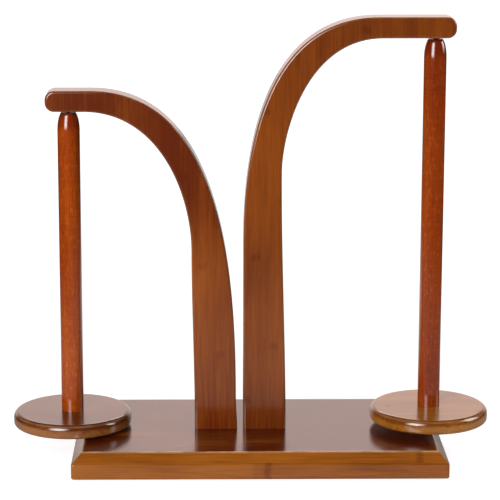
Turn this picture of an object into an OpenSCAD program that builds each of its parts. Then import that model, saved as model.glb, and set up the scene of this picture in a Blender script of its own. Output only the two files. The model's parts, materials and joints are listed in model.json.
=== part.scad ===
// Yarn stand with two hanging spindles, in stained bamboo with beech rods.
// Two bent arms rise from a bevelled base board. Under the end of each arm sits a magnet,
// and a spindle hangs from it on a steel ball, so that it turns and swings freely.
// X runs along the base from the short arm's side to the tall arm's side, and Y from front to back.
// The origin is on the floor, midway between the axes of the two spindles.

/* [Base board] */
// Length of the base board
base_w = 248; // [220:1:300]
// Depth of the base board from front to back
base_d = 134; // [110:1:180]
// Thickness of the base board
base_t = 17; // [14:0.5:24]
// Height of the sloping band round the top
bevel_h = 7; // [4:0.5:9]
// How far the sloping band runs in from the side
bevel_run = 7; // [4:0.5:12]
// Radius of the eased edges of the base board
base_edge_r = 1.2; // [0.6:0.1:2]
// Radius of the upright corners of the base board
base_corner_r = 2; // [1:0.5:5]
// How far the gap between the arms lies from the middle of the base, towards the short side
arms_off = 12.3; // [0:0.1:20]

/* [Feet] */
// Diameter of each foot pad
foot_d = 14; // [10:0.5:18]
// Thickness of each foot pad
foot_t = 1.5; // [1:0.1:4]
// Radius of the rounded rim of each foot pad
foot_rim_r = 0.5; // [0.2:0.1:0.9]
// Distance from the edges of the base to the middle of each foot pad
foot_inset = 16; // [13:0.5:30]

/* [Arms] */
// Thickness of the arms from front to back
arm_t = 20; // [17:0.5:28]
// Height of the arms at their tips
arm_tip_h = 14; // [12.5:0.5:20]
// Radius of the routed edges of the arms
arm_edge_r = 1.8; // [0.6:0.1:2.5]
// Radius of the two rounded corners of each tip
arm_tip_r = 6; // [3:0.25:6.2]
// Gap between the feet of the two arms
arm_gap = 4; // [2:0.5:15]

/* [Short arm] */
// Distance from the spindle's axis to the near edge of the foot
short_reach = 83.4; // [76:0.1:105]
// Width of the foot
short_foot_w = 28.8; // [25:0.1:36]
// How far the tip runs past the spindle's axis
short_tip_over = 15; // [12.5:0.5:25]
// How far the inner edge leans away from the spindle over its upright stretch
short_in_lean = -2; // [-4:0.1:4]
// Height of the inner edge's upright stretch
short_in_upright = 123; // [90:1:140]
// Pull of the inner curve along the upright stretch
short_in_rise = 38; // [20:1:60]
// Pull of the inner curve along the level stretch
short_in_run = 51; // [25:1:60]
// Distance from the spindle's axis at which the underside turns level
short_in_level = 10; // [8:0.5:16]
// How far the outer edge leans away from the spindle over its upright stretch
short_out_lean = -0.9; // [-3:0.1:1]
// Height of the outer edge's upright stretch
short_out_upright = 20; // [10:1:80]
// Pull of the outer curve along the upright stretch
short_out_rise = 80; // [60:1:100]
// Pull of the outer curve along the level stretch
short_out_run = 90; // [60:1:95]
// Distance from the spindle's axis at which the top turns level
short_out_level = 15; // [8:0.5:20]

/* [Tall arm] */
// Distance from the spindle's axis to the near edge of the foot
tall_reach = 97.9; // [90:0.1:125]
// Width of the foot
tall_foot_w = 28.9; // [25:0.1:36]
// How far the tip runs past the spindle's axis
tall_tip_over = 13; // [12.5:0.5:25]
// How far the inner edge leans away from the spindle over its upright stretch
tall_in_lean = 3.4; // [-4:0.1:5]
// Height of the inner edge's upright stretch
tall_in_upright = 176; // [140:1:195]
// Pull of the inner curve along the upright stretch
tall_in_rise = 26; // [15:1:60]
// Pull of the inner curve along the level stretch
tall_in_run = 51; // [25:1:60]
// Distance from the spindle's axis at which the underside turns level
tall_in_level = 35; // [10:0.5:40]
// How far the outer edge leans away from the spindle over its upright stretch
tall_out_lean = 0; // [-3:0.1:1]
// Height of the outer edge's upright stretch
tall_out_upright = 129; // [60:1:150]
// Pull of the outer curve along the upright stretch
tall_out_rise = 74; // [50:1:100]
// Pull of the outer curve along the level stretch
tall_out_run = 70; // [50:1:85]
// Distance from the spindle's axis at which the top turns level
tall_out_level = 38; // [10:0.5:45]

/* [Spindles] */
// Diameter of the rods
rod_d = 15; // [12:0.5:18]
// Length of the short spindle's rod over its disc
short_rod_len = 205; // [190:1:240]
// Length of the tall spindle's rod over its disc
tall_rod_len = 251; // [240:1:300]
// Diameter of the flat at the top of each rod
rod_tip_d = 9.5; // [8.5:0.1:11]
// Length over which a rod narrows to its tip
rod_tip_len = 13; // [8:0.5:25]
// Diameter of the tenon at the foot of each rod
tenon_d = 10; // [7:0.5:11]
// Length of the tenon at the foot of each rod
tenon_len = 5; // [3:0.5:5.5]

/* [Discs] */
// Diameter of the discs
disc_d = 80; // [60:1:100]
// Thickness of the discs
disc_t = 9.5; // [8:0.5:14]
// Radius of the upper rim of the discs
disc_top_r = 3; // [1:0.1:4]
// Radius of the lower rim of the discs
disc_low_r = 2; // [1:0.1:3.5]
// Height at which the short spindle's disc hangs over the base
short_disc_gap = 1.8; // [1.5:0.1:8]
// Height at which the tall spindle's disc hangs over the base
tall_disc_gap = 4.2; // [3.6:0.1:10]

/* [Pivots] */
// Diameter of the steel balls in the rods' tips
ball_d = 6; // [4:0.1:6.4]
// How far each ball stands out of its tip
ball_proud = 1; // [0.8:0.1:1.5]
// Length of the magnets under the balls
tip_magnet_len = 6; // [3:0.5:12]
// Diameter of the magnets in the arms
arm_magnet_d = 10; // [6:0.5:12]
// Thickness of the magnets in the arms
arm_magnet_t = 3; // [1.5:0.5:5]
// Clear space above and below each ball
pivot_gap = 0.1; // [0.05:0.05:0.3]

/* [Screws] */
// Shank diameter of the screws that hold the arms
arm_screw_d = 4; // [3:0.1:5]
// Head diameter of the screws that hold the arms
arm_screw_head_d = 8; // [6.5:0.1:10]
// Length of the screws that hold the arms
arm_screw_len = 45; // [35:1:60]
// Distance between the two screws of an arm
arm_screw_pitch = 14; // [11:0.5:16]
// Shank diameter of the screws that hold the discs
disc_screw_d = 3.5; // [2.5:0.1:4.5]
// Head diameter of the screws that hold the discs
disc_screw_head_d = 7; // [5.5:0.1:9]
// Length of the screws that hold the discs
disc_screw_len = 30; // [20:1:45]
// How deep the screw heads are sunk
head_sink = 0.5; // [0.2:0.1:1]
// Length of a screw's pointed end
screw_point = 4; // [2:0.5:8]

/* [Fit] */
// Clearance round screws, magnets, balls and tenons
fit_gap = 0.05; // [0.02:0.01:0.1]

/* [Hidden] */
$fn = 64;

base_top = foot_t + base_t;
spindle_span = short_reach + short_foot_w + arm_gap + tall_foot_w + tall_reach;
short_x = -spindle_span / 2;
tall_x = spindle_span / 2;
base_x = short_x + short_reach + short_foot_w + arm_gap / 2 + arms_off;

// Heights of a hanging spindle, counted from the bottom of its disc
tenon_foot = disc_t - tenon_len;
short_rod_top = disc_t + short_rod_len;
tall_rod_top = disc_t + tall_rod_len;
pivot_rise = ball_proud + pivot_gap;

// Heights of the arms over the base board
short_under = short_disc_gap + short_rod_top + pivot_rise;
tall_under = tall_disc_gap + tall_rod_top + pivot_rise;

ball_drop = ball_d / 2 - ball_proud;
tip_bore_depth = ball_d - ball_proud + pivot_gap + tip_magnet_len + pivot_gap;
pilot_depth = arm_screw_len + head_sink - base_t + pivot_gap;
// Length by which cutting shapes pass the faces that they cut
cut_over = 5;
foot_steps = 6;
curve_steps = 18;
round_steps = 5;

bamboo = "#8f5228";
arm_bamboo = "#7c4420";
disc_bamboo = "#96602f";
beech = "#9a4415";
steel = "#a9aaad";
nickel = "#c3c5c8";
rubber = "#2b2a29";

function unit(v) = v / norm(v);

// Points of the arc that rounds the corner at p
function corner_arc(before, p, after, r) =
    let (
        a = unit(before - p),
        b = unit(after - p),
        half = acos(a * b) / 2,
        reach = r / tan(half),
        middle = p + unit(a + b) * r / sin(half)
    )
    [
        for (k = [0 : round_steps])
            middle + r * unit(p + reach * (a * (1 - k / round_steps) + b * k / round_steps) - middle)
    ];

// An outline with all its corners rounded alike
function rounded(points, r) =
    let (n = len(points))
    [
        for (i = [0 : n - 1])
            each corner_arc(points[(i + n - 1) % n], points[i], points[(i + 1) % n], r)
    ];

// Section of the base board: upright sides with a sloping band above them
function base_section(width) = [
    [-width / 2, 0],
    [width / 2, 0],
    [width / 2, base_t - bevel_h],
    [width / 2 - bevel_run, base_t],
    [-width / 2 + bevel_run, base_t],
    [-width / 2, base_t - bevel_h]
];

module base_blank() {
    plan = [
        [-base_w / 2, -base_d / 2],
        [base_w / 2, -base_d / 2],
        [base_w / 2, base_d / 2],
        [-base_w / 2, base_d / 2]
    ];
    intersection() {
        rotate([90, 0, 0])
            linear_extrude(base_d, center = true)
                polygon(rounded(base_section(base_w), base_edge_r));
        rotate([90, 0, 90])
            linear_extrude(base_w, center = true)
                polygon(rounded(base_section(base_d), base_edge_r));
        linear_extrude(base_t)
            polygon(rounded(plan, base_corner_r));
    }
}

// Countersunk wood screw that points up, with its head's face at the origin
module screw_shape(shank_d, head_d, length) {
    head_h = (head_d - shank_d) / 2;
    cylinder(h = head_h, d1 = head_d, d2 = shank_d);
    cylinder(h = length - screw_point, d = shank_d);
    translate([0, 0, length - screw_point])
        cylinder(h = screw_point, d1 = shank_d, d2 = shank_d / 4);
}

// Hole that takes such a screw, with its mouth on the face below the head
module screw_hole(shank_d, head_d, depth) {
    head_h = (head_d - shank_d) / 2;
    translate([0, 0, -cut_over])
        cylinder(h = cut_over, d = head_d + 2 * fit_gap);
    cylinder(h = head_h, d1 = head_d + 2 * fit_gap, d2 = shank_d + 2 * fit_gap);
    cylinder(h = depth, d = shank_d + 2 * fit_gap);
}

// Places of an arm's two screws, along the middle of its foot
module at_arm_screws(middle_x) {
    for (side = [-1, 1])
        translate([middle_x + side * arm_screw_pitch / 2, 0, 0])
            children();
}

short_foot_x = short_x + short_reach + short_foot_w / 2;
tall_foot_x = tall_x - tall_reach - tall_foot_w / 2;

module base_board() {
    color(bamboo)
        difference() {
            translate([base_x, 0, foot_t])
                base_blank();
            for (middle = [short_foot_x, tall_foot_x])
                at_arm_screws(middle)
                    translate([0, 0, foot_t + head_sink])
                        screw_hole(arm_screw_d, arm_screw_head_d, base_t + cut_over);
        }
}

module foot_pad(side_x, side_y) {
    color(rubber)
        translate([
            base_x + side_x * (base_w / 2 - foot_inset),
            side_y * (base_d / 2 - foot_inset),
            0
        ])
            rotate_extrude() {
                square([foot_d / 2 - foot_rim_r, foot_t]);
                translate([0, foot_rim_r])
                    square([foot_d / 2, foot_t - foot_rim_r]);
                translate([foot_d / 2 - foot_rim_r, foot_rim_r])
                    circle(foot_rim_r);
            }
}

module front_left_foot() { foot_pad(-1, -1); }
module front_right_foot() { foot_pad(1, -1); }
module rear_left_foot() { foot_pad(-1, 1); }
module rear_right_foot() { foot_pad(1, 1); }

function bezier(p0, p1, p2, p3, t) =
    pow(1 - t, 3) * p0 + 3 * t * pow(1 - t, 2) * p1 + 3 * t * t * (1 - t) * p2 + pow(t, 3) * p3;

// One edge of an arm, from its foot to where it turns level: a gentle lean, then one long curve
function arm_edge(foot, lean, upright, rise, run, level, top) = concat(
    [
        for (k = [0 : foot_steps])
            let (t = k / foot_steps)
            [foot + lean * t * t * (3 - 2 * t), upright * t]
    ],
    [
        for (k = [1 : curve_steps])
            bezier(
                [foot + lean, upright],
                [foot + lean, upright + rise],
                [level + run, top],
                [level, top],
                k / curve_steps
            )
    ]
);

function reversed(points) = [for (i = [len(points) - 1 : -1 : 0]) points[i]];

// Outline of an arm seen from the front, with the spindle's axis at 0 and the foot to the right.
// Both ends of the foot run on below the base's top, where the arm is cut off square.
function arm_outline(inner, outer, under, over) =
    let (
        top = under + arm_tip_h,
        inner_end = inner[len(inner) - 1],
        outer_end = outer[len(outer) - 1],
        low_corner = [-over, under],
        high_corner = [-over, top]
    )
    concat(
        [[inner[0].x, -cut_over]],
        inner,
        corner_arc(inner_end, low_corner, high_corner, arm_tip_r),
        corner_arc(low_corner, high_corner, outer_end, arm_tip_r),
        reversed(outer),
        [[outer[0].x, -cut_over]]
    );

// The outline drawn in by a depth, square to its edge
function drawn_in(points, depth) =
    let (n = len(points))
    [
        for (i = [0 : n - 1])
            let (
                back = unit(points[i] - points[(i + n - 1) % n]),
                ahead = unit(points[(i + 1) % n] - points[i]),
                along = unit(back + ahead)
            )
            points[i] + depth * [along.y, -along.x]
    ];

// Board cut to an outline, with a quarter-round on the edges of both faces
module routed_board(outline, thickness, edge_r) {
    n = len(outline);
    turns = [for (k = [0 : round_steps]) 90 * k / round_steps];
    front = [for (a = turns) [edge_r * (1 - sin(a)), -thickness / 2 + edge_r * (1 - cos(a))]];
    back = [for (a = reversed(turns)) [edge_r * (1 - sin(a)), thickness / 2 - edge_r * (1 - cos(a))]];
    layers = concat(front, back);
    points = [
        for (layer = layers)
            each [for (p = drawn_in(outline, layer[0])) [p.x, layer[1], p.y]]
    ];
    last = len(layers) - 1;
    walls = [
        for (j = [0 : last - 1])
            for (i = [0 : n - 1])
                let (
                    next = (i + 1) % n,
                    a = j * n + i,
                    b = (j + 1) * n + i,
                    c = (j + 1) * n + next,
                    d = j * n + next
                )
                each [[a, b, c], [a, c, d]]
    ];
    // Each face is a strip between the outline's two sides, which have as many points as each other
    front_face = [
        for (i = [0 : n / 2 - 2])
            each [[i, i + 1, n - 2 - i], [i, n - 2 - i, n - 1 - i]]
    ];
    back_face = [for (f = front_face) [last * n + f[2], last * n + f[1], last * n + f[0]]];
    polyhedron(points = points, faces = concat(front_face, walls, back_face));
}

// An arm with its spindle's axis at x = 0 and its foot at z = 0, bent towards the left
module arm_shape(inner, outer, under, over, foot_middle) {
    foot_room = outer[0].x + cut_over;
    difference() {
        routed_board(arm_outline(inner, outer, under, over), arm_t, arm_edge_r);
        translate([0, -arm_t / 2 - cut_over, -2 * cut_over])
            cube([foot_room, arm_t + 2 * cut_over, 2 * cut_over]);
        translate([0, 0, under - cut_over])
            cylinder(h = arm_magnet_t + cut_over, d = arm_magnet_d + 2 * fit_gap);
        at_arm_screws(foot_middle)
            translate([0, 0, -cut_over])
                cylinder(h = pilot_depth + cut_over, d = arm_screw_d + 2 * fit_gap);
    }
}

module short_arm() {
    inner = arm_edge(short_reach, short_in_lean, short_in_upright, short_in_rise,
        short_in_run, short_in_level, short_under);
    outer = arm_edge(short_reach + short_foot_w, short_out_lean, short_out_upright, short_out_rise,
        short_out_run, short_out_level, short_under + arm_tip_h);
    color(arm_bamboo)
        translate([short_x, 0, base_top])
            arm_shape(inner, outer, short_under, short_tip_over, short_reach + short_foot_w / 2);
}

module tall_arm() {
    inner = arm_edge(tall_reach, tall_in_lean, tall_in_upright, tall_in_rise,
        tall_in_run, tall_in_level, tall_under);
    outer = arm_edge(tall_reach + tall_foot_w, tall_out_lean, tall_out_upright, tall_out_rise,
        tall_out_run, tall_out_level, tall_under + arm_tip_h);
    color(arm_bamboo)
        translate([tall_x, 0, base_top])
            mirror([1, 0, 0])
                arm_shape(inner, outer, tall_under, tall_tip_over, tall_reach + tall_foot_w / 2);
}

module arm_screws(middle_x) {
    color(steel)
        at_arm_screws(middle_x)
            translate([0, 0, foot_t + head_sink])
                screw_shape(arm_screw_d, arm_screw_head_d, arm_screw_len);
}

module short_arm_screws() { arm_screws(short_foot_x); }
module tall_arm_screws() { arm_screws(tall_foot_x); }

module arm_magnet(axis_x, under) {
    color(nickel)
        translate([axis_x, 0, base_top + under])
            cylinder(h = arm_magnet_t, d = arm_magnet_d);
}

module short_arm_magnet() { arm_magnet(short_x, short_under); }
module tall_arm_magnet() { arm_magnet(tall_x, tall_under); }

// Places of the hanging spindles, with the bottom of the disc at z = 0
module hang_short() {
    translate([short_x, 0, base_top + short_disc_gap])
        children();
}
module hang_tall() {
    translate([tall_x, 0, base_top + tall_disc_gap])
        children();
}

module tip_ball(rod_top) {
    color(steel)
        translate([0, 0, rod_top - ball_drop])
            sphere(d = ball_d);
}

module tip_magnet(rod_top) {
    color(nickel)
        translate([0, 0, rod_top - tip_bore_depth + pivot_gap])
            cylinder(h = tip_magnet_len, d = ball_d);
}

// Turned rod: a dowel with a tenon at its foot, whose top end narrows along an arc to a small flat
module rod_shape(rod_top) {
    narrowing = (rod_d - rod_tip_d) / 2;
    tip_arc_r = (rod_tip_len * rod_tip_len + narrowing * narrowing) / (2 * narrowing);
    shoulder = rod_top - rod_tip_len;
    pilot = disc_screw_len + head_sink - tenon_foot + pivot_gap;
    color(beech)
        difference() {
            rotate_extrude() {
                translate([0, tenon_foot])
                    square([tenon_d / 2, tenon_len]);
                translate([0, disc_t])
                    square([rod_d / 2, shoulder - disc_t]);
                intersection() {
                    translate([0, shoulder])
                        square([rod_d / 2, rod_tip_len]);
                    translate([rod_d / 2 - tip_arc_r, shoulder])
                        circle(tip_arc_r, $fn = 256);
                }
            }
            translate([0, 0, rod_top - tip_bore_depth])
                cylinder(h = tip_bore_depth + cut_over, d = ball_d + 2 * fit_gap);
            translate([0, 0, tenon_foot - cut_over])
                cylinder(h = pilot + cut_over, d = disc_screw_d + 2 * fit_gap);
        }
}

module disc_shape() {
    color(disc_bamboo)
        difference() {
            rotate_extrude() {
                square([disc_d / 2 - max(disc_low_r, disc_top_r), disc_t]);
                translate([0, disc_low_r])
                    square([disc_d / 2, disc_t - disc_low_r - disc_top_r]);
                square([disc_d / 2 - disc_low_r, disc_low_r]);
                translate([0, disc_t - disc_top_r])
                    square([disc_d / 2 - disc_top_r, disc_top_r]);
                translate([disc_d / 2 - disc_low_r, disc_low_r])
                    circle(disc_low_r);
                translate([disc_d / 2 - disc_top_r, disc_t - disc_top_r])
                    circle(disc_top_r);
            }
            translate([0, 0, tenon_foot])
                cylinder(h = tenon_len + cut_over, d = tenon_d + 2 * fit_gap);
            translate([0, 0, head_sink])
                screw_hole(disc_screw_d, disc_screw_head_d, disc_t);
        }
}

module disc_screw() {
    color(steel)
        translate([0, 0, head_sink])
            screw_shape(disc_screw_d, disc_screw_head_d, disc_screw_len);
}

module short_tip_ball() { hang_short() tip_ball(short_rod_top); }
module short_tip_magnet() { hang_short() tip_magnet(short_rod_top); }
module short_rod() { hang_short() rod_shape(short_rod_top); }
module short_disc() { hang_short() disc_shape(); }
module short_disc_screw() { hang_short() disc_screw(); }

module tall_tip_ball() { hang_tall() tip_ball(tall_rod_top); }
module tall_tip_magnet() { hang_tall() tip_magnet(tall_rod_top); }
module tall_rod() { hang_tall() rod_shape(tall_rod_top); }
module tall_disc() { hang_tall() disc_shape(); }
module tall_disc_screw() { hang_tall() disc_screw(); }

base_board();
front_left_foot();
front_right_foot();
rear_left_foot();
rear_right_foot();
short_arm();
short_arm_screws();
short_arm_magnet();
short_tip_ball();
short_tip_magnet();
short_rod();
short_disc();
short_disc_screw();
tall_arm();
tall_arm_screws();
tall_arm_magnet();
tall_tip_ball();
tall_tip_magnet();
tall_rod();
tall_disc();
tall_disc_screw();
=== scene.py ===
import json
import math

import bmesh
import bpy
import numpy as np
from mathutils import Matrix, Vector

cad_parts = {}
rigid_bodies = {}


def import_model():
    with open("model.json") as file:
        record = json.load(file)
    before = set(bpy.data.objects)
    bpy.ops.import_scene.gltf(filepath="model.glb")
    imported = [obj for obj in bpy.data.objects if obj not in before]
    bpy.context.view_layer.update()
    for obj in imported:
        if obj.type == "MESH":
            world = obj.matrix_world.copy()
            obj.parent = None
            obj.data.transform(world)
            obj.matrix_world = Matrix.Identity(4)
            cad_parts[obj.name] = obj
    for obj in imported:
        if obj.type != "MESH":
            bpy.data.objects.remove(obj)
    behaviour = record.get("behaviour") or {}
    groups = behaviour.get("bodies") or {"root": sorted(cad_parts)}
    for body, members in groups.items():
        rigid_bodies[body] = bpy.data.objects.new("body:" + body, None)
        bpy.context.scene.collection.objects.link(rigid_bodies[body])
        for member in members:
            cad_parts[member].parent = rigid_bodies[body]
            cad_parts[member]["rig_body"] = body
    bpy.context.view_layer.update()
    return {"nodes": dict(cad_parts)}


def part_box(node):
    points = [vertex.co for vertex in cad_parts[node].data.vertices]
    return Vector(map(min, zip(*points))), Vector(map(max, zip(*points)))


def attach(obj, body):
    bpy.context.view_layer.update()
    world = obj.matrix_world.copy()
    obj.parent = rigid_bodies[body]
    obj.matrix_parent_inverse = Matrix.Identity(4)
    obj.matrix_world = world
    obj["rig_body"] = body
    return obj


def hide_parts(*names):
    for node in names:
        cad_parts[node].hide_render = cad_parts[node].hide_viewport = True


for leftover in list(bpy.data.objects):
    bpy.data.objects.remove(leftover)
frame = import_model()


# Base board
# One board of bamboo strips, glued side by side with the grain along its length, stained brown and sprayed
# with clear gloss lacquer. A sloping band is planed round its top, and all its edges are eased.

MM = 0.001


def make_piece(name, shape, body, node_name, material):
    """A new piece from points in metres and faces, which stands for a CAD node."""
    points, faces = shape
    mesh = bpy.data.meshes.new(name)
    mesh.from_pydata([tuple(point) for point in points], [], faces)
    mesh.materials.append(material)
    piece = bpy.data.objects.new(name, mesh)
    bpy.context.scene.collection.objects.link(piece)
    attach(piece, body)
    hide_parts(node_name)
    return piece


def lofted(rings, joined=False):
    """A skin over rings of equal length. Its ends are closed by strips, or joined to each other."""
    count = len(rings[0])
    points = [point for ring in rings for point in ring]
    faces = []
    for j in range(len(rings) if joined else len(rings) - 1):
        low = j * count
        high = (j + 1) % len(rings) * count
        for i in range(count):
            after = (i + 1) % count
            faces.append((low + i, low + after, high + after, high + i))
    if not joined:
        last = (len(rings) - 1) * count
        for i in range(count // 2 - 1):
            faces.append((i, count - 1 - i, count - 2 - i, i + 1))
            faces.append((last + i, last + i + 1, last + count - 2 - i, last + count - 1 - i))
    return points, faces


def round_ring(x, y, z, radius, sides):
    """Points of a level circle."""
    turns = [2 * math.pi * k / sides for k in range(sides)]
    return [(x + radius * math.cos(turn), y + radius * math.sin(turn), z) for turn in turns]


def gathered(shapes):
    """Several shapes as one."""
    points = []
    faces = []
    for shape_points, shape_faces in shapes:
        start = len(points)
        points += list(shape_points)
        faces += [tuple(start + i for i in face) for face in shape_faces]
    return points, faces


def cut_away(piece, shape):
    """Takes a closed shape out of a piece."""
    points, faces = shape
    cutter_mesh = bpy.data.meshes.new("cutter")
    cutter_mesh.from_pydata([tuple(point) for point in points], [], faces)
    cutter_shape = bmesh.new()
    cutter_shape.from_mesh(cutter_mesh)
    bmesh.ops.recalc_face_normals(cutter_shape, faces=cutter_shape.faces)
    cutter_shape.to_mesh(cutter_mesh)
    cutter_shape.free()
    cutter = bpy.data.objects.new("cutter", cutter_mesh)
    bpy.context.scene.collection.objects.link(cutter)
    cut = piece.modifiers.new("cut", "BOOLEAN")
    cut.operation = "DIFFERENCE"
    cut.object = cutter
    cut.solver = "EXACT"
    bpy.context.view_layer.update()
    graph = bpy.context.evaluated_depsgraph_get()
    done = bpy.data.meshes.new_from_object(piece.evaluated_get(graph))
    piece.modifiers.remove(cut)
    piece.data = done
    bpy.data.objects.remove(cutter)


def drill(piece, holes, sides=48):
    """Drills holes into a piece. A hole is a place in X and Y and its steps of (height, radius)."""
    shapes = []
    for x, y, steps in holes:
        shapes.append(lofted([round_ring(x, y, z, radius, sides) for z, radius in steps]))
    cut_away(piece, gathered(shapes))


def soften(piece, sharp_angle=40):
    """Smooth shading that keeps flat faces flat and leaves true corners sharp."""
    shape = bmesh.new()
    shape.from_mesh(piece.data)
    bmesh.ops.remove_doubles(shape, verts=shape.verts, dist=0.002 * MM)
    bmesh.ops.recalc_face_normals(shape, faces=shape.faces)
    for face in shape.faces:
        face.smooth = True
    for edge in shape.edges:
        edge.smooth = len(edge.link_faces) == 2 and edge.calc_face_angle() < math.radians(sharp_angle)
    shape.to_mesh(piece.data)
    shape.free()
    even = piece.modifiers.new("even_shading", "WEIGHTED_NORMAL")
    even.mode = "FACE_AREA"
    even.weight = 60
    even.keep_sharp = True


def add(tree, kind, inputs=None, **settings):
    """A shader node with its inputs set to values or linked to sockets."""
    made = tree.nodes.new(kind)
    for key, value in settings.items():
        setattr(made, key, value)
    for key, value in (inputs or {}).items():
        if isinstance(value, bpy.types.NodeSocket):
            tree.links.new(value, made.inputs[key])
        else:
            made.inputs[key].default_value = value
    return made


def calc(tree, operation, *values):
    """The result of one sum."""
    return add(tree, "ShaderNodeMath", dict(enumerate(values)), operation=operation).outputs[0]


def vector_calc(tree, operation, *values):
    """The node of one sum on places or directions."""
    return add(tree, "ShaderNodeVectorMath", dict(enumerate(values)), operation=operation)


def fade(tree, value, start, end, low, high):
    """A soft change from low to high as a value goes from start to end."""
    inputs = {"Value": value, "From Min": start, "From Max": end, "To Min": low, "To Max": high}
    return add(tree, "ShaderNodeMapRange", inputs, interpolation_type="SMOOTHSTEP").outputs[0]


def noise(tree, place, scale, detail=2.0, rough=0.5):
    """Noise from 0 to 1, with its own scale along each axis."""
    stretched = vector_calc(tree, "MULTIPLY", place, scale).outputs[0]
    inputs = {"Vector": stretched, "Scale": 1.0, "Detail": detail, "Roughness": rough}
    return add(tree, "ShaderNodeTexNoise", inputs).outputs["Fac"]


def swing(tree, value, amount):
    """A value from 0 to 1 turned into a swing about zero."""
    return calc(tree, "MULTIPLY", calc(tree, "SUBTRACT", value, 0.5), amount)


def toned(tree, tone, tones):
    """A colour between the dark, middle and pale tone of a stained wood."""
    ramp = add(tree, "ShaderNodeValToRGB", {"Fac": tone})
    stops = ramp.color_ramp.elements
    stops[0].position = 0.1
    stops[0].color = (*tones[0], 1)
    stops[1].position = 0.9
    stops[1].color = (*tones[2], 1)
    middle = stops.new(0.5)
    middle.color = (*tones[1], 1)
    return ramp.outputs[0]


def blank_material(name):
    """A material with an empty node tree, and that tree."""
    material = bpy.data.materials.new(name)
    material.use_nodes = True
    material.node_tree.nodes.clear()
    return material, material.node_tree


def lacquered(tree, place, colour, relief, rough, gloss):
    """Stained wood under clear, level lacquer. Marked edges show paler wood, on the base's top edge also as
    a painted highlight.
    """
    bare_wood_and_highlight = (0.66, 0.38, 0.19, 1)
    wear_and_highlight = add(tree, "ShaderNodeAttribute", attribute_name="wear_and_highlight").outputs["Fac"]
    blotches = noise(tree, place, (70, 70, 70))
    patches = fade(tree, blotches, start=0.35, end=0.6, low=0.45, high=1.0)
    paled_edge = calc(tree, "MULTIPLY", wear_and_highlight, patches)
    shown = add(tree, "ShaderNodeMixRGB", {"Fac": paled_edge, "Color1": colour, "Color2": bare_wood_and_highlight}).outputs[0]
    wood_bump = add(tree, "ShaderNodeBump", {"Height": relief, "Strength": 0.15, "Distance": 0.25 * MM})
    shader = add(tree, "ShaderNodeBsdfPrincipled", {
        "Base Color": shown,
        "Roughness": rough,
        "Specular IOR Level": 0.0,
        "Normal": wood_bump.outputs[0],
        "Coat Weight": 1.0,
        "Coat Roughness": gloss,
        "Coat IOR": 1.7,
    })
    add(tree, "ShaderNodeOutputMaterial", {"Surface": shader.outputs[0]})


def mark_wear_and_highlight(piece, amount_at):
    """Marks how pale an edge is painted, 0 to 1, by each point's place: rubbed stain, on the base also a
    painted highlight.
    """
    wear_and_highlight = piece.data.attributes.new("wear_and_highlight", "FLOAT", "POINT")
    for vertex, mark in zip(piece.data.vertices, wear_and_highlight.data):
        mark.value = min(1.0, max(0.0, amount_at(vertex.co)))


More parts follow.
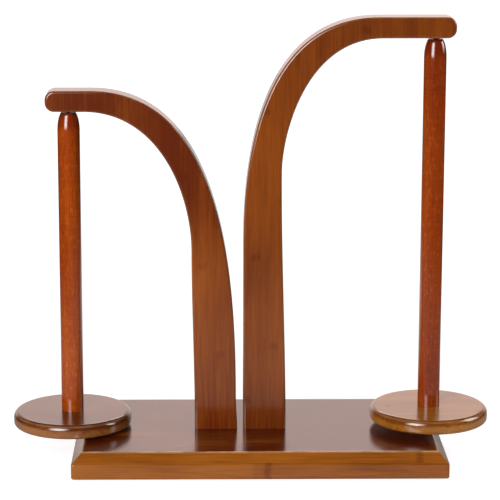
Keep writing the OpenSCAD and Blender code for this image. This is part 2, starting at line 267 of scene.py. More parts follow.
def bamboo(name, grain, tones, figure, first_node, gloss, stain_and_shade):
    """Strips of bamboo with fine fibres, faint streaks and a smudged mark at each node.

    Figure is the strength of the fibres and streaks and gloss the roughness of the lacquer, each as a pair:
    on upright surfaces and on level ones. The last argument lists where the wood is painted darker, some of
    it as painted shade and some as heavier stain, as (direction, start, end, amount), by X, Y or Z in
    metres or by how far the surface faces up, from 0 to 1.
    """
    strip_w = 6 * MM
    strip_d = 24 * MM
    upright_below = 0.75
    level_above = 0.98
    node_gap = 260 * MM
    node_wobble = 6 * MM
    # How far a node's mark is dark and where it has faded out, as shares of the gap
    node_dark = 0.003
    node_faded = 0.014
    material, tree = blank_material(name)
    coordinates = add(tree, "ShaderNodeTexCoord").outputs
    axes = add(tree, "ShaderNodeSeparateXYZ", {0: coordinates["Object"]}).outputs
    facing = add(tree, "ShaderNodeSeparateXYZ", {0: coordinates["Normal"]}).outputs
    side_a, side_b = [axes[axis] for axis in "XYZ" if axis != grain]
    along = axes[grain]
    lay = add(tree, "ShaderNodeCombineXYZ", {0: side_a, 1: side_b, 2: along}).outputs[0]
    counted = vector_calc(tree, "MULTIPLY", lay, (1 / strip_w, 1 / strip_d, 0)).outputs[0]
    strip = vector_calc(tree, "FLOOR", counted).outputs[0]
    strip_random = add(tree, "ShaderNodeTexWhiteNoise", {"Vector": strip}, noise_dimensions="3D")
    strip_tone = strip_random.outputs["Value"]

    fibres = noise(tree, lay, (1100, 1100, 34), detail=4, rough=0.65)
    streaks = noise(tree, lay, (280, 280, 10))
    clouds = noise(tree, lay, (24, 24, 11), detail=1)

    # The nodes of neighbouring strips lie at uneven steps, so that their marks don't meet
    strip_shift = vector_calc(tree, "DOT_PRODUCT", strip, (0.618, 0.414, 0)).outputs["Value"]
    wobbled = calc(tree, "ADD", along, swing(tree, streaks, amount=node_wobble))
    from_first = calc(tree, "SUBTRACT", wobbled, first_node)
    step = calc(tree, "ADD", calc(tree, "DIVIDE", from_first, node_gap), strip_shift)
    to_node = calc(tree, "PINGPONG", step, 0.5)
    node_mark = fade(tree, to_node, node_dark, node_faded, low=1, high=0)

    strength = fade(tree, facing["Z"], upright_below, level_above, *figure)
    grain_tone = calc(tree, "ADD", swing(tree, fibres, amount=1.1), swing(tree, streaks, amount=0.4))
    grain_tone = calc(tree, "MULTIPLY", grain_tone, strength)
    tone = calc(tree, "ADD", swing(tree, strip_tone, amount=0.10), 0.5)
    tone = calc(tree, "ADD", tone, grain_tone)
    tone = calc(tree, "ADD", tone, swing(tree, clouds, amount=0.70))
    tone = calc(tree, "SUBTRACT", tone, calc(tree, "MULTIPLY", node_mark, 0.14))
    for direction, start, end, amount in stain_and_shade:
        value = facing["Z"] if direction == "up" else axes[direction]
        tone = calc(tree, "SUBTRACT", tone, fade(tree, value, start, end, low=0, high=amount))

    rough = fade(tree, fibres, start=0, end=1, low=0.3, high=0.5)
    relief = calc(tree, "SUBTRACT", fibres, node_mark)
    sheen = fade(tree, facing["Z"], upright_below, level_above, *gloss)
    lacquered(tree, coordinates["Object"], toned(tree, tone, tones), relief, rough, sheen)
    return material


def eased(before, corner, after, radius, steps):
    """Points of the arc that rounds one corner of an outline."""
    to_before = (before - corner).normalized()
    to_after = (after - corner).normalized()
    half = to_before.angle(to_after) / 2
    centre = corner + (to_before + to_after).normalized() * radius / math.sin(half)
    start = corner + to_before * radius / math.tan(half) - centre
    end = corner + to_after * radius / math.tan(half) - centre
    return [centre + radius * start.lerp(end, k / steps).normalized() for k in range(steps + 1)]


base_low, base_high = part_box("base_board")
base_size = base_high - base_low
base_middle = (base_low + base_high) / 2
bevel_h = 7 * MM
bevel_run = 7 * MM
base_edge_r = 1.2 * MM
base_corner_r = 2 * MM
hip_r = 0.7 * MM
ease_steps = 6
corner_steps = 6

base_tones = ((0.08, 0.008, 0.0006), (0.32, 0.092, 0.008), (0.46, 0.155, 0.020))
# Painted shade: the level top is painted darker than the sloping band and the sides, standing for the
# weaker light on it.
base_top_painted_shade = [("up", 0.8, 0.98, 0.42)]
base_bamboo = bamboo(
    "base_bamboo",
    grain="X",
    tones=base_tones,
    figure=(0.6, 0.6),
    first_node=-98 * MM,
    gloss=(0.15, 0.17),
    stain_and_shade=base_top_painted_shade,
)

# The board's edge from bottom to top, as (distance drawn in, height)
edge_corners = [
    Vector((2 * bevel_run, 0)),
    Vector((0, 0)),
    Vector((0, base_size.z - bevel_h)),
    Vector((bevel_run, base_size.z)),
    Vector((2 * bevel_run, base_size.z)),
]
edge_line = []
for before, corner, after in zip(edge_corners, edge_corners[1:], edge_corners[2:]):
    edge_line += eased(before, corner, after, base_edge_r, ease_steps)
top_arc = len(edge_line) - ease_steps - 1
beside_arc = 1.2 * base_edge_r
on_slope = edge_corners[3] + (edge_corners[2] - edge_corners[3]).normalized() * beside_arc
on_top = edge_corners[3] + Vector((beside_arc, 0))
edge_line = edge_line[:top_arc] + [on_slope] + edge_line[top_arc:] + [on_top]

board_rings = []
for drawn_in_by, height in edge_line:
    half_x = base_size.x / 2 - drawn_in_by
    half_y = base_size.y / 2 - drawn_in_by
    radius = max(base_corner_r - drawn_in_by, hip_r)
    ring = []
    for quarter in range(4):
        side_x = 1 if quarter in (0, 3) else -1
        side_y = 1 if quarter in (0, 1) else -1
        for k in range(corner_steps + 1):
            turn = (quarter + k / corner_steps) * math.pi / 2
            ring.append((
                base_middle.x + side_x * (half_x - radius) + radius * math.cos(turn),
                base_middle.y + side_y * (half_y - radius) + radius * math.sin(turn),
                base_low.z + height,
            ))
    board_rings.append(ring)
board_shape = lofted(board_rings)
base_board = make_piece("base_board_wood", board_shape, "stand", "base_board", base_bamboo)

fit_gap = 0.05 * MM
head_sink = 0.5 * MM
arm_screw_r = 2 * MM
arm_screw_head_r = 4 * MM
arm_screw_places = {}
for side in ("short", "tall"):
    low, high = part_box(side + "_arm_screws")
    arm_screw_places[side] = (low.x + arm_screw_head_r, high.x - arm_screw_head_r)

head_face = base_low.z + head_sink
neck = head_face + arm_screw_head_r - arm_screw_r
board_hole = [
    (base_low.z - head_sink, arm_screw_head_r + fit_gap),
    (head_face, arm_screw_head_r + fit_gap),
    (neck, arm_screw_r + fit_gap),
    (base_high.z + head_sink, arm_screw_r + fit_gap),
]
drill(base_board, [(x, 0, board_hole) for places in arm_screw_places.values() for x in places])
soften(base_board)

# The edge where the slope meets the top is painted paler: partly stain rubbed thin, partly a painted
# highlight
pale_edge_reach = 0.8 * MM
pale_edge_most = 1.2


def base_edge_wear_and_highlight(place):
    """How pale the edge is painted, by the distance to where the slope meets the top: partly rubbed stain,
    partly painted highlight.
    """
    inset_x = base_size.x / 2 - abs(place.x - base_middle.x)
    inset_y = base_size.y / 2 - abs(place.y - base_middle.y)
    to_edge = math.hypot(min(inset_x, inset_y) - bevel_run, base_high.z - place.z)
    return pale_edge_most - pale_edge_most * to_edge / pale_edge_reach


mark_wear_and_highlight(base_board, base_edge_wear_and_highlight)


# Foot pads
# Four self-adhesive pads of black rubber under the corners of the base, with a rounded lower rim.
# They keep the board and its screw heads clear of the table.

def rubber(name):
    """Dull black rubber with a fine moulded grain and a little dust."""
    material, tree = blank_material(name)
    place = add(tree, "ShaderNodeTexCoord").outputs["Object"]
    pebble = noise(tree, place, (2400, 2400, 2400))
    dust = noise(tree, place, (260, 260, 260), detail=3)
    colour = add(tree, "ShaderNodeValToRGB", {"Fac": dust})
    colour.color_ramp.elements[0].color = (0.012, 0.012, 0.012, 1)
    colour.color_ramp.elements[1].color = (0.045, 0.043, 0.041, 1)
    bump = add(tree, "ShaderNodeBump", {"Height": pebble, "Strength": 0.4, "Distance": 0.2 * MM})
    shader = add(tree, "ShaderNodeBsdfPrincipled", {
        "Base Color": colour.outputs[0],
        "Roughness": fade(tree, dust, start=0, end=1, low=0.6, high=0.85),
        "Normal": bump.outputs[0],
    })
    add(tree, "ShaderNodeOutputMaterial", {"Surface": shader.outputs[0]})
    return material


def dress(node_name, material):
    """Gives a CAD node its finish."""
    mesh = frame["nodes"][node_name].data
    mesh.materials.clear()
    mesh.materials.append(material)


foot_rubber = rubber("foot_rubber")
for corner in ("front_left", "front_right", "rear_left", "rear_right"):
    dress(corner + "_foot", foot_rubber)


# Arms
# Two bent arms, each sawn from one bamboo board with its grain upright, so the grain also runs straight up
# across the level tip. The edges are routed to a quarter-round, and the foot stands square on the base.

arm_edge_r = 1.8 * MM
arm_tip_r = 6 * MM
arm_tip_h = 14 * MM
round_steps = 7
lean_steps = 20
curve_steps = 60
tip_steps = 12
crest_wear = 0.3

# Each edge of an arm in millimetres, counted from the spindle's axis and up from the base
short_inner = {"foot": 83.4, "lean": -2, "upright": 123, "rise": 38, "run": 51, "level": 10}
short_outer = {"foot": 112.2, "lean": -0.9, "upright": 20, "rise": 80, "run": 90, "level": 15}
tall_inner = {"foot": 97.9, "lean": 3.4, "upright": 176, "rise": 26, "run": 51, "level": 35}
tall_outer = {"foot": 126.8, "lean": 0, "upright": 129, "rise": 74, "run": 70, "level": 38}

arm_figure = (0.8, 0.6)
arm_gloss = (0.15, 0.11)
short_arm_tones = ((0.12, 0.017, 0.002), (0.24, 0.052, 0.004), (0.34, 0.090, 0.010))
# Darker towards the tip, and painted shade low on the foot, where the arm meets the base.
short_arm_tip_dark_foot_shade = [("Z", 0.11, 0.19, 0.38), ("Z", 0.05, 0.02, 0.16)]
short_arm_bamboo = bamboo(
    "short_arm_bamboo",
    grain="Z",
    tones=short_arm_tones,
    figure=arm_figure,
    first_node=100 * MM,
    gloss=arm_gloss,
    stain_and_shade=short_arm_tip_dark_foot_shade,
)
tall_arm_tones = ((0.12, 0.022, 0.003), (0.24, 0.053, 0.004), (0.34, 0.092, 0.010))
# Darker towards the tip, and painted shade low on the foot, where the arm meets the base.
tall_arm_tip_dark_foot_shade = [("Z", 0.19, 0.265, 0.18), ("Z", 0.065, 0.02, 0.32)]
tall_arm_bamboo = bamboo(
    "tall_arm_bamboo",
    grain="Z",
    tones=tall_arm_tones,
    figure=arm_figure,
    first_node=30 * MM,
    gloss=arm_gloss,
    stain_and_shade=tall_arm_tip_dark_foot_shade,
)


def arm_side(foot, lean, upright, rise, run, level, top):
    """One edge of an arm: a gentle lean from the foot, then one long curve until it runs level.

    The lean ends at the height upright, and level is where the curve ends at the height top. Rise and run
    are the pulls on the curve at its two ends.
    """
    line = []
    for t in np.arange(lean_steps) / lean_steps:
        line.append(Vector((foot + lean * t * t * (3 - 2 * t), upright * t)))
    pulls = [
        Vector((foot + lean, upright)),
        Vector((foot + lean, upright + rise)),
        Vector((level + run, top)),
        Vector((level, top)),
    ]
    for t in np.arange(curve_steps + 1) / curve_steps:
        weights = ((1 - t) ** 3, 3 * t * (1 - t) ** 2, 3 * t * t * (1 - t), t ** 3)
        line.append(sum((pull * weight for pull, weight in zip(pulls, weights)), Vector((0, 0))))
    return line


def drawn_in(outline, depth):
    """The outline moved inwards by a depth, square to its edge. The two foot points stay on the base."""
    moved = []
    count = len(outline)
    for i, point in enumerate(outline):
        back = (point - outline[i - 1]).normalized()
        ahead = (outline[(i + 1) % count] - point).normalized()
        if i == 0:
            back = ahead
        if i == count - 1:
            ahead = back
        along = (back + ahead).normalized()
        moved.append(point + depth * Vector((along.y, -along.x)))
    return moved


def bent_arm(side, inner, outer, over, facing, material):
    """An arm from its two edges in millimetres.

    Over is how far its tip passes the spindle's axis. Facing is -1 for a tip to the left and 1 for right.
    """
    low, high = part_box(side + "_arm")
    top = (high.z - low.z) / MM
    under = top - arm_tip_h / MM
    axis_x = low.x + over * MM if facing < 0 else high.x - over * MM
    inner_line = arm_side(**inner, top=under)
    outer_line = arm_side(**outer, top=top)
    low_corner = Vector((-over, under))
    high_corner = Vector((-over, top))
    outline = list(inner_line)
    outline += eased(inner_line[-1], low_corner, high_corner, arm_tip_r / MM, tip_steps)
    outline += eased(low_corner, high_corner, outer_line[-1], arm_tip_r / MM, tip_steps)
    outline += outer_line[::-1]
    half_t = (high.y - low.y) / 2
    layers = []
    for k in range(round_steps + 1):
        turn = k / round_steps * math.pi / 2
        layers.append((arm_edge_r * (1 - math.sin(turn)), -half_t + arm_edge_r * (1 - math.cos(turn))))
    layers += [(depth, -y) for depth, y in reversed(layers)]
    rings = []
    for depth, y in layers:
        edge = drawn_in(outline, depth / MM)
        rings.append([(axis_x - facing * point.x * MM, y, low.z + point.y * MM) for point in edge])
    arm = make_piece(side + "_arm_wood", lofted(rings), "stand", side + "_arm", material)

    pocket_low, pocket_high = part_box(side + "_arm_magnet")
    pocket_r = (pocket_high.x - pocket_low.x) / 2 + fit_gap
    pocket = [(pocket_low.z - head_sink, pocket_r), (pocket_high.z, pocket_r)]
    pilot_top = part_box(side + "_arm_screws")[1].z + 2 * fit_gap
    pilot = [(low.z - head_sink, arm_screw_r + fit_gap), (pilot_top, arm_screw_r + fit_gap)]
    drill(arm, [(axis_x, 0, pocket)] + [(x, 0, pilot) for x in arm_screw_places[side]])
    soften(arm)
    edge_crest = arm_edge_r * (1 - math.cos(math.pi / 4))
    mark_wear_and_highlight(arm, lambda place: crest_wear - abs(half_t - abs(place.y) - edge_crest) / MM)


bent_arm("short", short_inner, short_outer, over=15, facing=-1, material=short_arm_bamboo)
bent_arm("tall", tall_inner, tall_outer, over=13, facing=1, material=tall_arm_bamboo)


# Arm screws
# Two zinc-plated wood screws come up through the base into the foot of each arm. They have a countersunk
# head with a cross recess, a plain neck and a coarse rolled thread that ends in a point.

def plated(name, colour, rough, scratch):
    """Bright metal plating with a cloudy sheen and fine handling marks."""
    material, tree = blank_material(name)
    place = add(tree, "ShaderNodeTexCoord").outputs["Object"]
    bloom = noise(tree, place, (500, 500, 500), detail=3)
    marks = noise(tree, place, (6000, 6000, 900))
    sheen = add(tree, "ShaderNodeValToRGB", {"Fac": bloom})
    sheen.color_ramp.elements[0].position = 0.25
    sheen.color_ramp.elements[0].color = (*[0.8 * part for part in colour], 1)
    sheen.color_ramp.elements[1].position = 0.75
    sheen.color_ramp.elements[1].color = (*colour, 1)
    bump = add(tree, "ShaderNodeBump", {"Height": marks, "Strength": scratch, "Distance": 0.05 * MM})
    shader = add(tree, "ShaderNodeBsdfPrincipled", {
        "Base Color": sheen.outputs[0],
        "Metallic": 1.0,
        "Roughness": fade(tree, bloom, start=0.2, end=0.8, low=0.7 * rough, high=1.4 * rough),
        "Normal": bump.outputs[0],
    })
    add(tree, "ShaderNodeOutputMaterial", {"Surface": shader.outputs[0]})
    return material


def screw_body(x, y, face, length, shank_r, head_r):
    """A screw that points up, with the face of its head at a height."""
    sides = 24
    steps_per_turn = 8
    pitch = 0.9 * shank_r
    head_h = head_r - shank_r
    point_len = 4 * MM
    rim = 0.15 * MM
    neck_r = 0.78 * shank_r
    core_r = 0.62 * shank_r
    thread_from = 0.35 * length
    blunt = 0.08
    ridge_half = 0.3
    rings = [
        round_ring(x, y, face, head_r - 2 * rim, sides),
        round_ring(x, y, face + rim / 2, head_r - rim, sides),
        round_ring(x, y, face + head_h, shank_r, sides),
        round_ring(x, y, face + head_h + rim, neck_r, sides),
    ]
    count = int((length - thread_from) / pitch * steps_per_turn)
    for j in range(count + 1):
        along = thread_from + (length - thread_from) * j / count
        thick = min(1, (length - along) / point_len + blunt)
        grown = min(1, (along - thread_from) / pitch)
        ring = []
        for i in range(sides):
            turn = i / sides
            in_turn = (along / pitch - turn) % 1
            ridge = max(0, 1 - abs(in_turn - 0.5) / ridge_half) * grown
            radius = thick * (core_r + (neck_r - core_r) * (1 - grown) + (shank_r - core_r) * ridge)
            ring.append((
                x + radius * math.cos(2 * math.pi * turn),
                y + radius * math.sin(2 * math.pi * turn),
                face + along,
            ))
        rings.append(ring)
    return lofted(rings)


def cross_ring(x, y, z, reach, half_w):
    """Outline of a cross recess."""
    ring = []
    for quarter in range(4):
        turn = quarter * math.pi / 2
        for out, across in ((reach, -half_w), (reach, half_w), (half_w, half_w)):
            ring.append((
                x + out * math.cos(turn) - across * math.sin(turn),
                y + out * math.sin(turn) + across * math.cos(turn),
                z,
            ))
    return ring


def cross_recess(x, y, face, head_r):
    """The recess that takes the driver. It narrows inwards."""
    deep = 0.42 * head_r
    mouth = cross_ring(x, y, face - 0.1 * deep, reach=0.60 * head_r, half_w=0.16 * head_r)
    bottom = cross_ring(x, y, face + deep, reach=0.30 * head_r, half_w=0.10 * head_r)
    count = len(mouth)
    faces = [tuple(range(count)), tuple(range(count, 2 * count))]
    for i in range(count):
        after = (i + 1) % count
        faces.append((i, after, count + after, count + i))
    return mouth + bottom, faces


def wood_screws(node_name, places, shank_r, head_r):
    """The screws of one node, with their driver recesses."""
    low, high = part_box(node_name)
    length = high.z - low.z
    shapes = [screw_body(x, y, low.z, length, shank_r, head_r) for x, y in places]
    body = frame["nodes"][node_name]["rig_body"]
    screws = make_piece(node_name + "_steel", gathered(shapes), body, node_name, screw_steel)
    cut_away(screws, gathered([cross_recess(x, y, low.z, head_r) for x, y in places]))
    soften(screws, sharp_angle=50)


screw_steel = plated("screw_steel", (0.55, 0.54, 0.50), rough=0.30, scratch=0.3)
for side, places in arm_screw_places.items():
    wood_screws(side + "_arm_screws", [(x, 0) for x in places], arm_screw_r, arm_screw_head_r)


# Arm magnets
# A nickel-plated disc magnet is glued flush into the underside of each arm's tip. It holds up the spindle
# by the steel ball that rests against it.

magnet_nickel = plated("magnet_nickel", (0.66, 0.64, 0.60), rough=0.14, scratch=0.15)


def disc_magnet(node_name):
    """A round magnet with the small rounded rims that plating gives it."""
    sides = 64
    rim = 0.3 * MM
    rim_steps = 4
    low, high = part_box(node_name)
    middle = (low + high) / 2
    radius = (high.x - low.x) / 2
    half = []
    for k in range(rim_steps + 1):
        turn = k / rim_steps * math.pi / 2
        half.append((radius - rim + rim * math.sin(turn), rim - rim * math.cos(turn)))
    profile = [(r, low.z + z) for r, z in half] + [(r, high.z - z) for r, z in reversed(half)]
    rings = [round_ring(middle.x, middle.y, z, r, sides) for r, z in profile]
    shape = lofted(rings)
    body = frame["nodes"][node_name]["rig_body"]
    magnet = make_piece(node_name + "_nickel", shape, body, node_name, magnet_nickel)
    soften(magnet)


disc_magnet("short_arm_magnet")
disc_magnet("tall_arm_magnet")


# Discs
# Each spindle stands on a disc turned from the same bamboo board, with well-rounded rims. A socket in its
# top takes the rod's tenon, and the screw's head is sunk in its underside.

disc_top_r = 4 * MM
disc_low_r = 2 * MM
tenon_r = 5 * MM
tenon_len = 5 * MM
disc_screw_r = 1.75 * MM
disc_screw_head_r = 3.5 * MM
disc_sides = 144
disc_rim_steps = 10
rim_wear_fall = 0.4

short_disc_tones = ((0.10, 0.020, 0.0015), (0.26, 0.094, 0.026), (0.35, 0.135, 0.040))
tall_disc_tones = ((0.17, 0.042, 0.003), (0.39, 0.145, 0.018), (0.52, 0.225, 0.036))


def disc_bamboo(side, tones, first_node, darker_rim, paler_top):
    """The rim and upper side are darker, the flat top less so: partly stain the rim soaks up, partly
    painted shade.
    """
    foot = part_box(side + "_disc")[0].z
    rim_stain_and_shade = ("Z", foot + 4 * MM, foot + 7 * MM, darker_rim)
    lighter_top_face = ("up", 0.93, 0.995, -paler_top)
    return bamboo(
        side + "_disc_bamboo",
        grain="X",
        tones=tones,
        figure=(0.8, 0.3),
        first_node=first_node,
        gloss=(0.09, 0.20),
        stain_and_shade=[rim_stain_and_shade, lighter_top_face],
    )


disc_bamboos = {
    "short": disc_bamboo("short", short_disc_tones, first_node=10 * MM, darker_rim=0.45, paler_top=0.08),
    "tall": disc_bamboo("tall", tall_disc_tones, first_node=40 * MM, darker_rim=0.32, paler_top=0.24),
}


def quarter_round(r, z, radius, start):
    """Points of a quarter circle about a place in a profile, from a start angle in degrees."""
    turns = [math.radians(start + 90 * k / disc_rim_steps) for k in range(disc_rim_steps + 1)]
    return [(r + radius * math.cos(turn), z + radius * math.sin(turn)) for turn in turns]


for side, material in disc_bamboos.items():
    low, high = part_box(side + "_disc")
    middle = (low + high) / 2
    disc_r = (high.x - low.x) / 2
    socket_floor = high.z - tenon_len
    head_floor = low.z + head_sink
    hole_neck = head_floor + disc_screw_head_r - disc_screw_r
    profile = [(disc_screw_head_r + fit_gap, low.z)]
    profile += quarter_round(disc_r - disc_low_r, low.z + disc_low_r, disc_low_r, start=-90)
    profile += quarter_round(disc_r - disc_top_r, high.z - disc_top_r, disc_top_r, start=0)
    profile += [
        (tenon_r + fit_gap, high.z),
        (tenon_r + fit_gap, socket_floor),
        (disc_screw_r + fit_gap, socket_floor),
        (disc_screw_r + fit_gap, hole_neck),
        (disc_screw_head_r + fit_gap, head_floor),
    ]
    rings = [round_ring(middle.x, middle.y, z, r, disc_sides) for r, z in profile]
    shape = lofted(rings, joined=True)
    body = side + "_spindle"
    disc = make_piece(side + "_disc_wood", shape, body, side + "_disc", material)
    soften(disc)
    rim_crest = disc_top_r * (1 - math.cos(math.pi / 4))
    mark_wear_and_highlight(disc, lambda place: crest_wear - rim_wear_fall * abs(high.z - place.z - rim_crest) / MM)


# Rods
# Beech dowels, stained red-brown and lacquered. Each has a tenon turned on its foot. Its top is turned to a
# rounded nose that ends in a small flat, with a bore for the magnet and the ball.

rod_tip_r = 4.75 * MM
rod_tip_len = 13 * MM
tip_bore_r = 3 * MM
tip_edge_r = 1.2 * MM
nose_reach = 0.95
tip_arc_steps = 16
rod_sides = 96
rod_gloss = 0.09


def beech(side, tones, seed):
    """Stained beech with fine pores, short pale ray flecks and faint rings from the lathe.

    The rod is a little darker towards the top, and the cut wood of the nose soaks up more stain.
    """
    tip_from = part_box(side + "_rod")[1].z - rod_tip_len
    material, tree = blank_material(side + "_beech")
    place = add(tree, "ShaderNodeTexCoord").outputs["Object"]
    shifted = vector_calc(tree, "ADD", place, (seed, seed, seed)).outputs[0]
    growth = noise(tree, shifted, (170, 170, 6))
    pores = noise(tree, shifted, (1500, 1500, 60), detail=3, rough=0.6)
    rays = noise(tree, shifted, (620, 620, 300))
    rings = noise(tree, shifted, (12, 12, 1300), detail=1)
    clouds = noise(tree, shifted, (40, 40, 12), detail=1)
    fleck = fade(tree, rays, start=0.50, end=0.75, low=0, high=1)
    tone = calc(tree, "ADD", swing(tree, growth, amount=0.6), 0.5)
    tone = calc(tree, "ADD", tone, swing(tree, pores, amount=0.6))
    tone = calc(tree, "ADD", tone, swing(tree, clouds, amount=0.7))
    tone = calc(tree, "ADD", tone, calc(tree, "MULTIPLY", fleck, 0.25))
    tone = calc(tree, "ADD", tone, swing(tree, rings, amount=0.20))
    height = add(tree, "ShaderNodeSeparateXYZ", {0: place}).outputs["Z"]
    towards_top = fade(tree, height, tip_from - 60 * MM, tip_from, low=0, high=0.12)
    on_nose = fade(tree, height, tip_from - 2 * MM, tip_from + 10 * MM, low=0, high=0.40)
    tone = calc(tree, "SUBTRACT", tone, towards_top)
    tone = calc(tree, "SUBTRACT", tone, on_nose)
    rough = fade(tree, pores, start=0, end=1, low=0.3, high=0.5)
    lacquered(tree, place, toned(tree, tone, tones), pores, rough, rod_gloss)
    return material


short_rod_tones = ((0.19, 0.020, 0.002), (0.35, 0.056, 0.003), (0.49, 0.112, 0.010))
tall_rod_tones = ((0.15, 0.014, 0.002), (0.275, 0.040, 0.003), (0.39, 0.080, 0.008))
rod_beeches = {
    "short": beech("short", short_rod_tones, seed=2.0),
    "tall": beech("tall", tall_rod_tones, seed=5.0),
}

for side, material in rod_beeches.items():
    low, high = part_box(side + "_rod")
    middle = (low + high) / 2
    rod_r = (high.x - low.x) / 2
    shoulder = high.z - rod_tip_len
    narrowing = rod_r - rod_tip_r
    tenon_top = low.z + tenon_len
    pilot_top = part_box(side + "_disc_screw")[1].z + 2 * fit_gap
    bore_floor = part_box(side + "_tip_magnet")[0].z - 2 * fit_gap
    full_drop = 1 - math.sqrt(1 - nose_reach ** 2)
    arc = []
    for t in np.arange(tip_arc_steps + 1) / tip_arc_steps:
        drop = 1 - math.sqrt(1 - (nose_reach * t) ** 2)
        arc.append((rod_r - narrowing * drop / full_drop, shoulder + rod_tip_len * t))
    flat_inside = Vector((tip_bore_r, high.z))
    tip_edge = eased(Vector(arc[-2]), Vector(arc[-1]), flat_inside, tip_edge_r, ease_steps)
    profile = [
        (disc_screw_r + fit_gap, pilot_top),
        (disc_screw_r + fit_gap, low.z),
        (tenon_r, low.z),
        (tenon_r, tenon_top),
        (rod_r, tenon_top),
    ]
    profile += [point for point in arc if point[1] < tip_edge[0].y]
    profile += [tuple(point) for point in tip_edge]
    profile += [(tip_bore_r + fit_gap, high.z), (tip_bore_r + fit_gap, bore_floor)]
    rings = [round_ring(middle.x, middle.y, z, r, rod_sides) for r, z in profile]
    shape = lofted(rings)
    body = side + "_spindle"
    rod = make_piece(side + "_rod_wood", shape, body, side + "_rod", material)
    soften(rod)
    mark_wear_and_highlight(rod, lambda place: crest_wear - (high.z - place.z) / MM)


# Disc screws
# One smaller screw of the same zinc-plated kind comes up through each disc into its rod. It draws the tenon
# tight into its socket, and its head is sunk under the disc.

for side in ("short", "tall"):
    low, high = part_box(side + "_disc_screw")
    centre = ((low.x + high.x) / 2, (low.y + high.y) / 2)
    wood_screws(side + "_disc_screw", [centre], disc_screw_r, disc_screw_head_r)


# Pivots
# A polished steel ball sits in the bore of each rod's tip, on a small bar magnet. The ball meets the arm's
# magnet at a single point, so the spindle turns with hardly any friction.

ball_steel = plated("ball_steel", (0.60, 0.60, 0.61), rough=0.07, scratch=0.05)
for side in ("short", "tall"):
    disc_magnet(side + "_tip_magnet")
    dress(side + "_tip_ball", ball_steel)


# Table and backdrop
# A white table top under the stand and a white backdrop behind it, in a studio that is dark elsewhere.
# The gloss of the lacquer mirrors the table close by, the backdrop and little else; in it the table is a
# painted glow.

table_half_w = 6
table_front = -3
table_back = 14
table_corners = [
    (-table_half_w, table_front, 0),
    (table_half_w, table_front, 0),
    (table_half_w, table_back, 0),
    (-table_half_w, table_back, 0),
]
table_mesh = bpy.data.meshes.new("table")
table_mesh.from_pydata(table_corners, [], [(0, 1, 2, 3)])
table = bpy.data.objects.new("table", table_mesh)
bpy.context.scene.collection.objects.link(table)

white, tree = blank_material("table_white")
path = add(tree, "ShaderNodeLightPath").outputs
place = add(tree, "ShaderNodeTexCoord").outputs["Object"]
axes = add(tree, "ShaderNodeSeparateXYZ", {0: place}).outputs
paint = add(tree, "ShaderNodeBsdfDiffuse", {"Color": (0.8, 0.8, 0.8, 1)})
shade = add(tree, "ShaderNodeBsdfDiffuse", {"Color": (0.35, 0.35, 0.35, 1)})
white_level = fade(tree, axes["Y"], start=0.15, end=0.9, low=0.88, high=1.0)
glow = add(tree, "ShaderNodeEmission", {"Strength": white_level})
seen = add(tree, "ShaderNodeAddShader", {0: shade.outputs[0], 1: glow.outputs[0]})
# Painted light: in the gloss the table shows a glow, a pool round the stand fading outwards and a band
# behind it.
from_stand = vector_calc(tree, "LENGTH", place).outputs["Value"]
painted_pool = fade(tree, from_stand, start=0.2, end=0.8, low=0.30, high=0.02)
behind = fade(tree, axes["Y"], start=0.08, end=0.3, low=0, high=1)
widening = calc(tree, "MULTIPLY", axes["Y"], 0.12)
spread = calc(tree, "SUBTRACT", calc(tree, "ABSOLUTE", axes["X"]), widening)
in_line = fade(tree, spread, start=0.22, end=0.40, low=0.8, high=0)
painted_glow = add(tree, "ShaderNodeEmission", {
    "Strength": calc(tree, "ADD", painted_pool, calc(tree, "MULTIPLY", behind, in_line)),
})
by_gloss = add(tree, "ShaderNodeMixShader", {
    0: path["Is Glossy Ray"],
    1: paint.outputs[0],
    2: painted_glow.outputs[0],
})
by_eye = add(tree, "ShaderNodeMixShader", {
    0: path["Is Camera Ray"],
    1: by_gloss.outputs[0],
    2: seen.outputs[0],
})
add(tree, "ShaderNodeOutputMaterial", {"Surface": by_eye.outputs[0]})
table_mesh.materials.append(white)

scene = bpy.context.scene
scene.view_settings.view_transform = "Standard"
studio = bpy.data.worlds.new("studio")
scene.world = studio
studio.use_nodes = True
tree = studio.node_tree
tree.nodes.clear()
path = add(tree, "ShaderNodeLightPath").outputs
heading = add(tree, "ShaderNodeTexCoord").outputs["Generated"]
axes = add(tree, "ShaderNodeSeparateXYZ", {0: heading}).outputs
backdrop_level = fade(tree, axes["Y"], start=0.70, end=0.93, low=0.02, high=1.0)
by_height = fade(tree, axes["Z"], start=0.08, end=0.3, low=1.3, high=1.5)
walls_level = fade(tree, axes["Y"], start=0.2, end=0.7, low=0.05, high=0.2)
walls = add(tree, "ShaderNodeBackground", {"Color": (1, 1, 1, 1), "Strength": walls_level})
backdrop = add(tree, "ShaderNodeBackground", {
    "Color": (1.0, 0.79, 0.73, 1),
    "Strength": calc(tree, "MULTIPLY", backdrop_level, by_height),
})
plain = add(tree, "ShaderNodeBackground", {"Color": (1, 1, 1, 1), "Strength": 1.0})
by_gloss = add(tree, "ShaderNodeMixShader", {
    0: path["Is Glossy Ray"],
    1: walls.outputs[0],
    2: backdrop.outputs[0],
})
clear = calc(tree, "MAXIMUM", path["Is Camera Ray"], path["Is Transmission Ray"])
by_eye = add(tree, "ShaderNodeMixShader", {0: clear, 1: by_gloss.outputs[0], 2: plain.outputs[0]})
add(tree, "ShaderNodeOutputWorld", {"Surface": by_eye.outputs[0]})


# Lights
# A large softbox stands in front, to the left. A smaller one on the right and a wide one high up behind
# pick out the rims and the rounded edges.

aim = Vector((0, 0, 0.13))


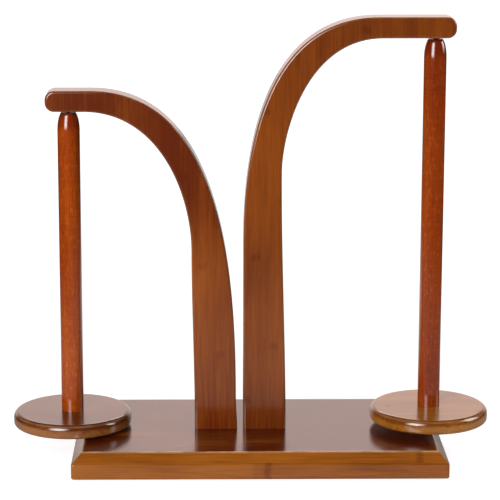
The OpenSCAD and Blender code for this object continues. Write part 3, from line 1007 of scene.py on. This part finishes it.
def softbox(name, azimuth, elevation, distance, width, height, watts, core, foot):
    """A light that looks at the stand and is brightest along its middle, with its sizes in metres.

    Azimuth 0 is in front and 90 to the right. Core is the share of its width, to each side, that is fully
    bright. Foot is the share of its height over which it fades in from below.
    """
    lamp = bpy.data.lights.new(name, "AREA")
    lamp.shape = "RECTANGLE"
    lamp.size = width
    lamp.size_y = height
    lamp.energy = watts
    lamp.use_nodes = True
    tree = lamp.node_tree
    tree.nodes.clear()
    on_face = add(tree, "ShaderNodeNewGeometry").outputs["Parametric"]
    across, up, _ = add(tree, "ShaderNodeSeparateXYZ", {0: on_face}).outputs
    from_middle = calc(tree, "ABSOLUTE", calc(tree, "SUBTRACT", across, 0.5))
    by_width = fade(tree, from_middle, start=core, end=0.5, low=1, high=0)
    by_foot = fade(tree, up, start=0, end=foot, low=0, high=1)
    bright = calc(tree, "MULTIPLY", by_width, by_foot)
    face = add(tree, "ShaderNodeEmission", {"Strength": bright})
    add(tree, "ShaderNodeOutputLight", {"Surface": face.outputs[0]})

    holder = bpy.data.objects.new(name, lamp)
    bpy.context.scene.collection.objects.link(holder)
    turn = math.radians(azimuth)
    lift = math.radians(elevation)
    level = math.cos(lift)
    away = Vector((math.sin(turn) * level, -math.cos(turn) * level, math.sin(lift)))
    holder.location = aim + away * distance
    holder.rotation_mode = "QUATERNION"
    holder.rotation_quaternion = (-away).to_track_quat("-Z", "Y")
    holder.visible_camera = False


softbox(
    "front_left_softbox",
    azimuth=-29,
    elevation=18.5,
    distance=2.2,
    width=1.81,
    height=1.75,
    watts=102,
    core=0.05,
    foot=0.2,
)
softbox(
    "right_softbox",
    azimuth=96,
    elevation=22.5,
    distance=1.2,
    width=0.8,
    height=0.8,
    watts=12,
    core=0.20,
    foot=0.4,
)
softbox(
    "back_softbox",
    azimuth=180,
    elevation=33,
    distance=3.0,
    width=3.2,
    height=0.6,
    watts=24,
    core=0.20,
    foot=0.3,
)


# Camera
# A long lens in front of the stand and a little above it, tilted down to it. Two small lens shifts set the
# stand in the frame.

photo_side_px = 500
focal_px = 2041
camera_data = bpy.data.cameras.new("camera")
camera = bpy.data.objects.new("camera", camera_data)
scene.collection.objects.link(camera)
scene.camera = camera
camera_data.sensor_width = 36
camera_data.lens = focal_px / photo_side_px * camera_data.sensor_width
camera_data.shift_x = 0.05
camera_data.shift_y = -0.08
camera_data.clip_start = 0.05
camera_data.clip_end = 40
pitch = math.radians(11.31)
yaw = math.radians(0.575)
camera.location = (-0.031, -1.3417, 0.4365)
forward = Vector((math.sin(yaw) * math.cos(pitch), math.cos(yaw) * math.cos(pitch), -math.sin(pitch)))
camera.rotation_mode = "QUATERNION"
camera.rotation_quaternion = forward.to_track_quat("-Z", "Y")
